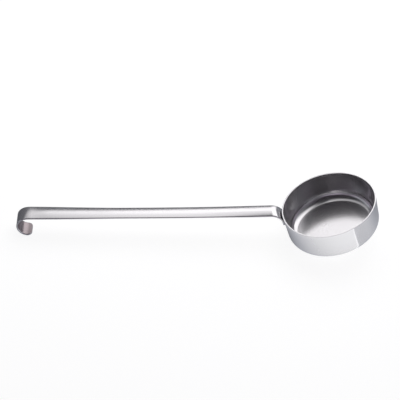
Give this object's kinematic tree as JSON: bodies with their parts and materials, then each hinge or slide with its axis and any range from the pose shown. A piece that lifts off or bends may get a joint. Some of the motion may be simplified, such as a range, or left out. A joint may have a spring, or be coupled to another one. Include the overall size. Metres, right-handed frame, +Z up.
{
  "type": "sauce ladle",
  "caption": "Straight-sided steel sauce ladle: a shallow drawn cup with a flat base and a long welded strip handle that ends in a hanging hook.",
  "frame": {"origin": "on the table that the ladle lies on, under the middle of its bounding box", "axes": "+Z up from the table, handle towards -X and cup towards +X, Y across the strip; the ladle lies on its hook and the cup's lower corner"},
  "size_m": [0.345, 0.0906, 0.0474],
  "materials": {
    "cup_steel": "satin stainless steel with turned lines, polished rim",
    "handle_steel": "polished stainless steel strip, brushed along its length",
    "weld_steel": "bare resistance weld"
  },
  "bodies": {
    "root": {"cup": "cup_steel", "strip_handle": "handle_steel", "spot_weld_front": "weld_steel", "spot_weld_back": "weld_steel"}
  },
  "joints": []
}
